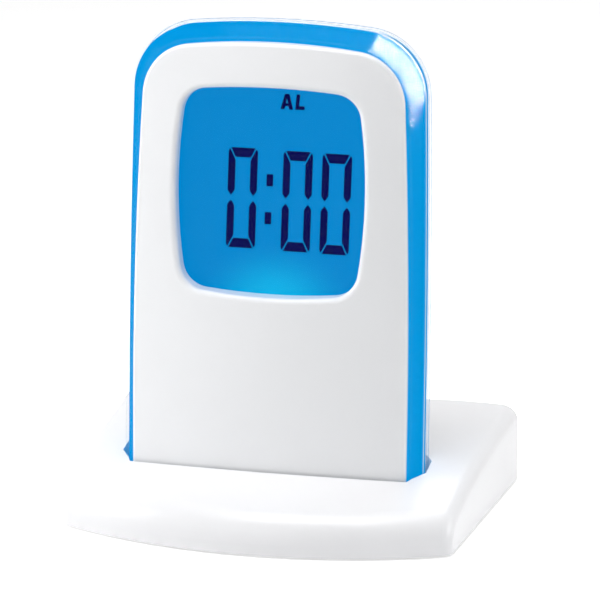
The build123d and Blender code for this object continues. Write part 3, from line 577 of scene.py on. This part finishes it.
def recess_reach(turn, length, width):
    """How far a cross-shaped recess reaches from its middle in one direction."""
    run, rise = abs(math.cos(turn)), abs(math.sin(turn))
    arms = []
    for along, aside in ((run, rise), (rise, run)):
        arms.append(min(length / max(along, 1e-6), width / max(aside, 1e-6)))
    return max(arms)


def add_screw(form, space, head, recess, shank_end):
    """Add one screw: a head of rings, a cross recess, and a threaded shank with a point.

    The head is a list of radii and heights, and the recess has a length, a width and a depth.
    """
    length, width, depth = recess
    corner = math.atan(width / length)
    right = math.pi / 2
    quarter = (0, corner, right / 4 + 0.1, right / 2, 3 * right / 4 - 0.1, right - corner)
    turns = [n * right + t for n in range(4) for t in quarter]
    rings = [
        [(recess_reach(t, length * 0.45, width * 0.7), -depth) for t in turns],
        [(recess_reach(t, length, width), 0.0) for t in turns],
    ]
    rings += [[(radius, height) for t in turns] for radius, height in head]
    shank_top = head[-1][1]
    steps = int((shank_top - shank_end) / THREAD_PITCH * 5)
    for n in range(steps + 1):
        height = shank_top + (shank_end - shank_top) * n / steps
        taper = min(1.0, max(0.12, (height - shank_end) / POINT_LENGTH))
        ring = []
        for t in turns:
            phase = (height / THREAD_PITCH + t / (2 * math.pi)) % 1
            ridge = max(0.0, 1 - abs(phase - 0.5) * THREAD_SHARPNESS)
            radius = THREAD_ROOT + (THREAD_CREST - THREAD_ROOT) * ridge
            ring.append((radius * taper, height))
        rings.append(ring)
    made = [
        [
            form.verts.new(space @ (Vector((r * math.cos(t), r * math.sin(t), z)) * MM))
            for t, (r, z) in zip(turns, ring)
        ]
        for ring in rings
    ]
    count = len(turns)
    form.faces.new(made[0])
    form.faces.new(made[-1][::-1])
    for upper, lower in zip(made, made[1:]):
        for n in range(count):
            m = (n + 1) % count
            form.faces.new((upper[n], upper[m], lower[m], lower[n]))


def add_drop(form, space, radius, height):
    """Add a low round drop that stands on its space's floor, in millimetres."""
    rings = 5
    count = 16
    made = []
    for n in range(rings):
        share = math.pi / 2 * n / rings
        outline = round_outline(radius * math.cos(share), count)
        rise = height * math.sin(share)
        made.append([form.verts.new(space @ (Vector((x, y, rise)) * MM)) for x, y in outline])
    form.faces.new(made[0][::-1])
    form.faces.new(made[-1])
    for lower, upper in zip(made, made[1:]):
        for n in range(count):
            form.faces.new((lower[n], lower[(n + 1) % count], upper[(n + 1) % count], upper[n]))


pan_head = [(1.3, -0.02), (1.75, -0.16), (1.98, -0.36), (2.1, -0.62), (2.1, -1.36), (2.06, -1.4)]
screws = bmesh.new()
for number, (across, height) in enumerate(CASE_SCREWS):
    turned = Matrix.Rotation(0.5 + 1.3 * number, 4, "Z")
    space = head_space(across, height, CASE_SCREW_TOP) @ turned
    add_screw(screws, space, pan_head, (1.15, 0.24, 0.85), -9.4)
piece = new_piece("case_screws_cross_recessed", screws, screw_zinc, "head")
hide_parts("case_screws")

sunk_head = [(2.1, 0.0), (2.2, -0.06), (2.18, -0.12), (1.1, -1.1)]
screws = bmesh.new()
upside_down = Matrix.Rotation(math.pi, 4, "X")
for number, (x, y) in enumerate(BASE_SCREWS):
    turned = Matrix.Rotation(0.3 + 1.7 * number, 4, "Z")
    space = Matrix.Translation(Vector((x, y, BASE_SCREW_TOP)) * MM) @ upside_down @ turned
    add_screw(screws, space, sunk_head, (1.2, 0.24, 0.85), -7.5)
piece = new_piece("base_screws_cross_recessed", screws, screw_zinc, "base")
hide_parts("base_screws")

# Battery door: grip ribs and a pointer under the latch, moulded 0.2 to 0.3 mm proud
SUNK_IN = -0.05
door_face = head_space(0, 0, DOOR_FACE)
grips = bmesh.new()
for number in range(4):
    rib = bar_outline(13 - 1.6 * number, 0.7, 0, 40.9 - 1.5 * number)
    raise_plate(grips, [rib], door_face, SUNK_IN, 0.32)
pointer = [(0, 31.8), (1.5, 34.2), (-1.5, 34.2)]
raise_plate(grips, [pointer], door_face, SUNK_IN, 0.22)
soften(new_piece("battery_door_grip_ribs", grips, cover_abs, "door"), 0.12)

# Rear cover: raised signs over the buttons and beside the light switch, and a thin ring round the
# sound holes
rear_face = head_space(0, 0, REAR_FACE)
arm, half = 1.05, 0.19
plus = [
    (-arm, -half), (-half, -half), (-half, -arm), (half, -arm), (half, -half), (arm, -half),
    (arm, half), (half, half), (half, arm), (-half, arm), (-half, half), (-arm, half),
]
signs = bmesh.new()
for sign in (
    ring_faces(1.15, 0.8, 24, 18, 65.6),
    [box_outline(17.85, 65.5, 18.15, 66.4)],
    [[(5.0, 65.0), (7.0, 65.0), (6.0, 66.6)]],
    [[(-6.0 + x, 65.6 + y) for x, y in plus]],
    [box_outline(-19.05, 65.41, -16.95, 65.79)],
    ring_faces(0.95, 0.62, 24, 6.4, 76),
    [box_outline(-6.57, 75.05, -6.23, 76.95)],
):
    raise_plate(signs, sign, rear_face, SUNK_IN, 0.22)
raise_plate(signs, ring_faces(7.0, 6.55, 48, 0, 91), rear_face, SUNK_IN, 0.18)
soften(new_piece("rear_cover_raised_signs", signs, cover_abs, "head"), 0.07)

# Solder where the leads end on the board and on the contacts' tabs
solder = bmesh.new()
for across in (-26.8, -25.4):
    add_drop(solder, head_space(across, 48.6, 9.0), 0.95, 1.2)
for across, height in ((-26.9, 26.05), (-25.5, 37.05)):
    add_drop(solder, head_space(across, height, 9.6), 0.5, 0.9)
new_piece("lead_solder_joints", solder, can_steel, "head", smooth=True)

# Skin and frame: the mouldings' edges are broken a little, and the skin's carry a painted highlight
# line
parts["clear_shell"].data.materials.append(edge_acrylic_painted_highlight)
soften(parts["clear_shell"], 0.22, 25).material = 1
soften(parts["light_frame"], 0.15, 25)


# ---------------------------------------------------------------------------
# Stage, lamps and camera
# ---------------------------------------------------------------------------

def seen_through(tree):
    """1 for rays from the camera, a mirror or a clear piece, and 0 for light on the object."""
    path = add_node(tree, "ShaderNodeLightPath")
    first = add_node(
        tree, "ShaderNodeMath", {"operation": "MAXIMUM"},
        {0: path.outputs["Is Camera Ray"], 1: path.outputs["Is Glossy Ray"]},
    )
    return add_node(
        tree, "ShaderNodeMath", {"operation": "MAXIMUM"},
        {0: first.outputs["Value"], 1: path.outputs["Is Transmission Ray"]},
    )


# Floor: white sweep that keeps the clock's shadow
reach = 3000
floor_form = bmesh.new()
raise_plate(floor_form, [box_outline(-reach, -reach, reach, reach)], Matrix(), -2, -0.02)
floor_mesh = bpy.data.meshes.new("floor")
floor_form.to_mesh(floor_mesh)
floor_form.free()
floor = bpy.data.objects.new("floor", floor_mesh)
bpy.context.scene.collection.objects.link(floor)
sweep = bpy.data.materials.new("white_paper_sweep")
sweep.use_nodes = True
tree = sweep.node_tree
tree.nodes.clear()
paper = add_node(tree, "ShaderNodeBsdfDiffuse", {"Color": paint("F4F4F4")})
glow = add_node(tree, "ShaderNodeEmission", {"Color": paint("FFFFFF"), "Strength": 0.55})
lifted = add_node(tree, "ShaderNodeAddShader", {}, {0: paper.outputs[0], 1: glow.outputs[0]})
seen = seen_through(tree)
choice = add_node(
    tree, "ShaderNodeMixShader", {},
    {0: seen.outputs["Value"], 1: paper.outputs[0], 2: lifted.outputs[0]},
)
add_node(tree, "ShaderNodeOutputMaterial", {}, {"Surface": choice.outputs[0]})
floor_mesh.materials.append(sweep)

# World: white where it is seen, soft grey where it lights the clock
world = bpy.data.worlds.new("studio")
bpy.context.scene.world = world
world.use_nodes = True
tree = world.node_tree
tree.nodes.clear()
shown = add_node(tree, "ShaderNodeBackground", {"Color": paint("FFFFFF"), "Strength": 1.0})
fill = add_node(tree, "ShaderNodeBackground", {"Color": paint("FFFFFF"), "Strength": 0.15})
seen = seen_through(tree)
choice = add_node(
    tree, "ShaderNodeMixShader", {},
    {0: seen.outputs["Value"], 1: fill.outputs[0], 2: shown.outputs[0]},
)
add_node(tree, "ShaderNodeOutputWorld", {}, {"Surface": choice.outputs[0]})


def bearing(azimuth, elevation):
    """Direction from the clock outwards: degrees round from the front, and up."""
    turn, rise = math.radians(azimuth), math.radians(elevation)
    level = math.cos(rise)
    return Vector((math.sin(turn) * level, -math.cos(turn) * level, math.sin(rise)))


def facing(out):
    """Turn of a lamp or camera that looks back along a direction, with its top upwards."""
    return (-out).to_track_quat("-Z", "Y")


def add_lamp(name, width, height, power):
    """A lamp with a glowing rectangle, in metres and watts."""
    lamp = bpy.data.lights.new(name, "AREA")
    lamp.shape = "RECTANGLE"
    lamp.size = width
    lamp.size_y = height
    lamp.energy = power
    holder = bpy.data.objects.new(name, lamp)
    bpy.context.scene.collection.objects.link(holder)
    return holder


# Square softboxes round the clock: bearing in degrees, distance and side in metres, and watts
middle = Vector((0, 0, 50)) * MM
for name, azimuth, elevation, distance, side, power in (
    ("key_softbox", -70, 20, 0.45, 0.28, 1.12),
    ("side_softbox", 95, 12, 1.1, 0.6, 3.8),
    ("top_softbox", 0, 75, 0.4, 0.28, 1.02),
    ("front_softbox", -12, 12, 1.1, 0.6, 0.7),
    ("back_softbox", 180, 60, 1.1, 0.6, 3.0),
):
    softbox = add_lamp(name, side, side, power)
    out = bearing(azimuth, elevation)
    softbox.location = middle + out * distance
    softbox.rotation_euler = facing(out).to_euler()

# Panel that leans over the clock from the right: it draws the white streak in the rounded corner
# of the clear skin, and lights nothing else
low_end, high_end = Vector((0.53, -0.11, 0.045)), Vector((0.06, -0.11, 0.58))
panel_width, panel_glow = 0.26, 280
panel_length = (high_end - low_end).length
panel_power = panel_glow * math.pi * panel_width * panel_length
streak = add_lamp("streak_panel", panel_width, panel_length, panel_power)
streak.location = (low_end + high_end) / 2
across, along = Vector((0, 1, 0)), (high_end - low_end).normalized()
streak.rotation_euler = Matrix((across, along, across.cross(along))).transposed().to_euler()
streak.visible_diffuse = False
clear_pieces = bpy.data.collections.new("clear_pieces")
clear_pieces.objects.link(parts["clear_shell"])
streak.light_linking.receiver_collection = clear_pieces

# Camera at the photograph's angle, fitted to the clock's outline
aim = Vector((2.33, 3.79, 46.89)) * MM
out = bearing(15.115, 14.546)
roll = Matrix.Rotation(math.radians(-0.06), 3, "Z")
lens = bpy.data.cameras.new("camera")
lens.lens = 240.2
lens.sensor_width = 36.0
lens.clip_start = 0.05
lens.clip_end = 20.0
camera = bpy.data.objects.new("camera", lens)
bpy.context.scene.collection.objects.link(camera)
camera.location = aim + out * 886.19 * MM
camera.rotation_euler = (facing(out).to_matrix() @ roll).to_euler()
bpy.context.scene.camera = camera
bpy.context.scene.view_settings.view_transform = "Standard"
